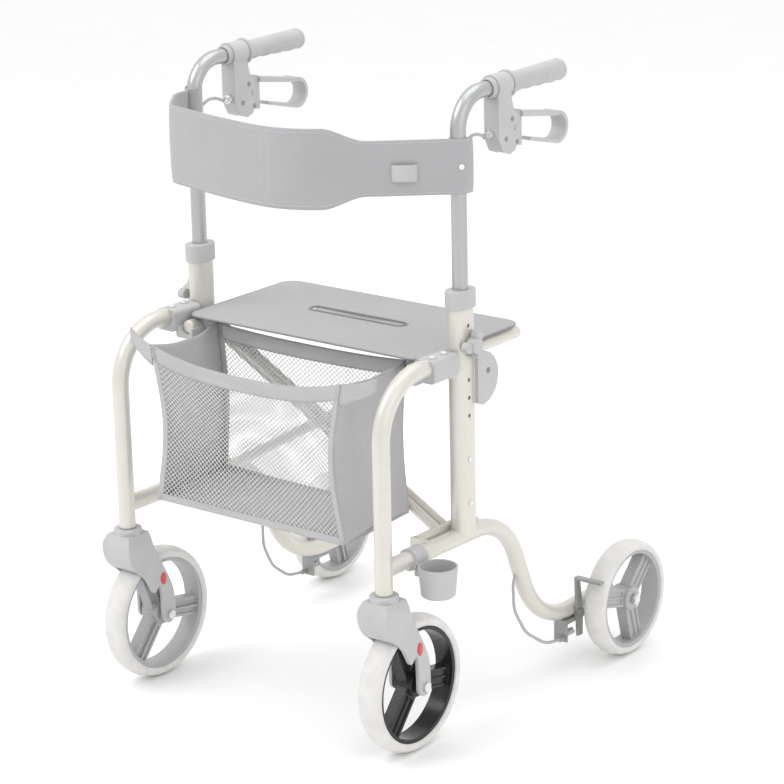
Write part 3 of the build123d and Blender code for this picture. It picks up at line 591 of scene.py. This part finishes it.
def make_band():
    line = band_line()
    lengths = [0.0]
    for a, b in zip(line, line[1:]):
        lengths.append(lengths[-1] + (b - a).length)
    total = lengths[-1]

    def at(u):
        """Point at a share of the line's length."""
        target = u * total
        for k in range(1, len(line)):
            if lengths[k] >= target or k == len(line) - 1:
                share = (target - lengths[k - 1]) / max(1e-9, lengths[k] - lengths[k - 1])
                return line[k - 1].lerp(line[k], share)

    def place(u, v):
        point = at(u)
        ahead = (at(min(1, u + 0.01)) - at(max(0, u - 0.01))).normalized()
        out = ahead.cross(Vector((0, 0, 1))).normalized()
        half = band_half_height(point.x)
        side = 2 * v - 1
        bulge = 0.0012 * (1 - side ** 4) + 0.0006 * math.sin(u * 9) * (1 - side ** 2)
        return point + out * bulge + Vector((0, 0, side * half)), out

    band = piece("band_cover", sheet_mesh("band_cover", 150, 36, place, 0.0036), "left_handle", "band")
    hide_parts("back_band")
    extras = []
    for edge, v in (("upper", 0.955), ("lower", 0.045)):
        points = []
        for step in range(151):
            point, out = place(0.012 + 0.976 * step / 150, v)
            points.append(point + out * 0.0018)
        name = f"band_stitch_{edge}"
        extras.append(piece(name, tube_mesh(name, points, 0.0004, 6), "left_handle", "band", EXTRA["thread"]))
    for name, u, v in (("left", 0.966, 0.5), ("right", 0.05, 0.5)):
        point, out = place(u, v)
        label = f"band_rivet_{name}"
        rivet = disc_mesh(label, point + out * 0.0018, out, 0.0038, 0.0016, dome=0.6)
        extras.append(piece(label, rivet, "left_handle", "hardware", EXTRA["white_trim"]))

    def loop_place(u, v):
        centre, out = place(0.842, 0.42)
        before, _ = place(0.832, 0.42)
        ahead = (centre - before).normalized()
        turn = (u - 0.5) * math.pi
        rise = 0.0030 + 0.0035 * math.cos(turn)
        return (centre + ahead * 0.017 * math.sin(turn) + out * rise + Vector((0, 0, (v - 0.5) * 0.024)),
                (out * math.cos(turn) + ahead * math.sin(turn)).normalized())

    loop_mesh = sheet_mesh("band_webbing_loop", 30, 8, loop_place, 0.0016)
    extras.append(piece("band_webbing_loop", loop_mesh, "left_handle", "band", EXTRA["webbing"]))
    for side, sign in SIDES.items():
        name = f"band_sleeve_{side}"
        loops = []
        half = 0.0375 if sign > 0 else 0.0590
        for z_share in (-1, -0.985, -0.95, -0.5, 0, 0.5, 0.95, 0.985, 1):
            radius = 0.0122 if abs(z_share) == 1 else 0.0128
            loops.append([
                Vector((
                    sign * SIDE_X + radius * math.cos(a),
                    POST_Y + radius * math.sin(a),
                    BAND_Z + half * z_share,
                ))
                for a in (2 * math.pi * k / 40 for k in range(40))
            ])
        sleeve = piece(name, rings(name, loops, caps=False), f"{side}_handle", "band")
        wall = sleeve.modifiers.new("wall", "SOLIDIFY")
        wall.thickness = 0.0012
        wall.offset = -1
        if sign > 0:
            extras.append(sleeve)
    # the left sleeve, last of the extras, is tight on its tube and keeps its shape
    for thing in [band, *extras[:-1]]:
        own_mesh(thing)


# ---------------------------------------------------------------- basket
BASKET_HALF_X = 0.1745
BASKET_Y = {"front": (-0.2835, -0.2845), "rear": (-0.1420, -0.1405)}  # at the floor and at the rim
BASKET_LOW_Z = {"front": 0.3045, "rear": 0.3120}
BASKET_RIM_Z = {"front": 0.5380, "rear": 0.5370}


def basket_corner(x_sign, y_side, height):
    """A vertical edge of the bag at a share of its height, drawn in a little between floor and rim."""
    y_low, y_top = BASKET_Y[y_side]
    waist = math.sin(math.pi * height) ** 1.3
    x = BASKET_HALF_X - (0.017 if y_side == "front" else 0.008) * waist
    low, top = BASKET_LOW_Z[y_side], BASKET_RIM_Z[y_side]
    return Vector((x_sign * x, y_low + (y_top - y_low) * height, low + (top - low) * height))


def basket_wall(y_side):
    """Front or rear wall: between its two vertical edges, the rim sagging in the middle."""
    direction = -1 if y_side == "front" else 1

    def place(u, v):
        left, right = basket_corner(-1, y_side, v), basket_corner(1, y_side, v)
        point = left.lerp(right, u)
        middle = 1 - abs(2 * u - 1) ** 2.6
        rim_sag = 0.021 if y_side == "front" else 0.006
        point.z -= rim_sag * middle * smoothstep(v * 1.5 - 0.5)
        point.z -= 0.006 * (1 - (2 * u - 1) ** 2) * (1 - v) * (y_side == "rear")
        point.y -= direction * 0.004 * middle * math.sin(math.pi * v) * (0.6 + 0.4 * math.sin(u * 9 + v * 5))
        return point, Vector((0, direction, 0))
    return place


def basket_side(x_sign):
    """Side gusset, drawn in by a soft vertical fold."""
    def place(u, v):
        front, rear = basket_corner(x_sign, "front", v), basket_corner(x_sign, "rear", v)
        point = front.lerp(rear, u)
        middle = 1 - (2 * u - 1) ** 2
        belly = 0.6 + 0.4 * math.sin(math.pi * v)
        point.x -= x_sign * middle * (0.007 * belly * middle + 0.0016 * math.sin(u * 15 + v * 4))
        point.z -= 0.009 * middle * v - 0.004 * middle * (1 - v)
        return point, Vector((x_sign, 0, 0))
    return place


def basket_floor(u, v):
    front = basket_corner(-1, "front", 0).lerp(basket_corner(1, "front", 0), u)
    rear = basket_corner(-1, "rear", 0).lerp(basket_corner(1, "rear", 0), u)
    point = front.lerp(rear, v)
    point.z += 0.0012
    return point, Vector((0, 0, 1))


def net_mesh(name, place, u_range, v_range, columns, rows, yarn):
    """Knitted net as real yarn, in small diamond cells with a knot at each crossing."""
    vertices, faces = [], []

    def knot(i, j):
        u = u_range[0] + (u_range[1] - u_range[0]) * i / columns
        v = v_range[0] + (v_range[1] - v_range[0]) * j / rows
        return Vector(place(u, v)[0])

    def strand(start, end):
        ahead = (end - start).normalized()
        side = ahead.cross(Vector((0, 1, 0))).normalized()
        other = ahead.cross(side)
        base = len(vertices)
        for share, width in ((-0.08, 1.25), (0.3, 0.85), (0.7, 0.85), (1.08, 1.25)):
            point = start.lerp(end, share)
            for k in range(5):
                turn = 2 * math.pi * k / 5
                offset = (side * math.cos(turn) + other * math.sin(turn)) * yarn * width
                vertices.append(tuple(point + offset))
        for ring in range(3):
            for k in range(5):
                low, n = base + ring * 5, (k + 1) % 5
                faces.append((low + k, low + n, low + 5 + n, low + 5 + k))
        faces.append(tuple(range(base, base + 5)))
        faces.append(tuple(range(base + 19, base + 14, -1)))

    for j in range(rows):
        for i in range(columns + 1):
            if (i + j) % 2:
                continue
            for step in (-1, 1):
                if 0 <= i + step <= columns:
                    strand(knot(i, j), knot(i + step, j + 1))
    mesh = bpy.data.meshes.new(name)
    mesh.from_pydata(vertices, [], faces)
    return mesh


def make_basket():
    body = "left_frame"
    made = []
    for y_side in ("front", "rear"):
        wall = basket_wall(y_side)
        made.append(piece(f"basket_net_{y_side}",
                          net_mesh(f"basket_net_{y_side}", wall, (0.02, 0.98), (0.02, 0.93), 80, 56, 0.00062),
                          body, "basket", EXTRA["mesh_cord"]))
        for name, u0, u1, v0, v1 in (
            ("rim", 0.0, 1.0, 0.90, 1.0), ("hem", 0.0, 1.0, 0.0, 0.045),
            ("edge_a", 0.0, 0.028, 0.0, 1.0), ("edge_b", 0.972, 1.0, 0.0, 1.0),
        ):
            def part(u, v, u0=u0, u1=u1, v0=v0, v1=v1):
                return wall(u0 + (u1 - u0) * u, v0 + (v1 - v0) * v)
            label = f"basket_{y_side}_{name}"
            columns, rows = (60, 5) if u1 - u0 > 0.5 else (4, 40)
            made.append(piece(label, sheet_mesh(label, columns, rows, part, 0.0022), body, "basket"))
    for side, sign in SIDES.items():
        label = f"basket_gusset_{side}"
        gusset = piece(label, sheet_mesh(label, 28, 40, basket_side(sign), 0.0018), body, "basket")
        made.append(gusset)
        for y_side, end in (("front", (0.2265, -0.2700, 0.5420)), ("rear", (0.1960, -0.1500, 0.5400))):
            corner = basket_corner(sign, y_side, 0.93)
            target = Vector((sign * end[0], end[1], end[2]))

            def tab(u, v, corner=corner, target=target):
                point = corner.lerp(target, u)
                point.z += (v - 0.5) * (0.030 - 0.010 * u) - 0.003 * math.sin(math.pi * u)
                return point, Vector((0, -1, 0))
            label = f"basket_tab_{side}_{y_side}"
            made.append(piece(label, sheet_mesh(label, 10, 6, tab, 0.0018), body, "basket"))
    floor = piece("basket_floor", sheet_mesh("basket_floor", 40, 16, basket_floor, 0.0022), body, "basket")
    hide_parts("basket")
    made.append(floor)
    for thing in made:
        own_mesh(thing)


make_camera()
make_studio()
paint_cad_nodes()
make_wheels()
for side, sign in SIDES.items():
    make_grip(side, sign)
make_trim()
make_seat()
make_band()
make_basket()
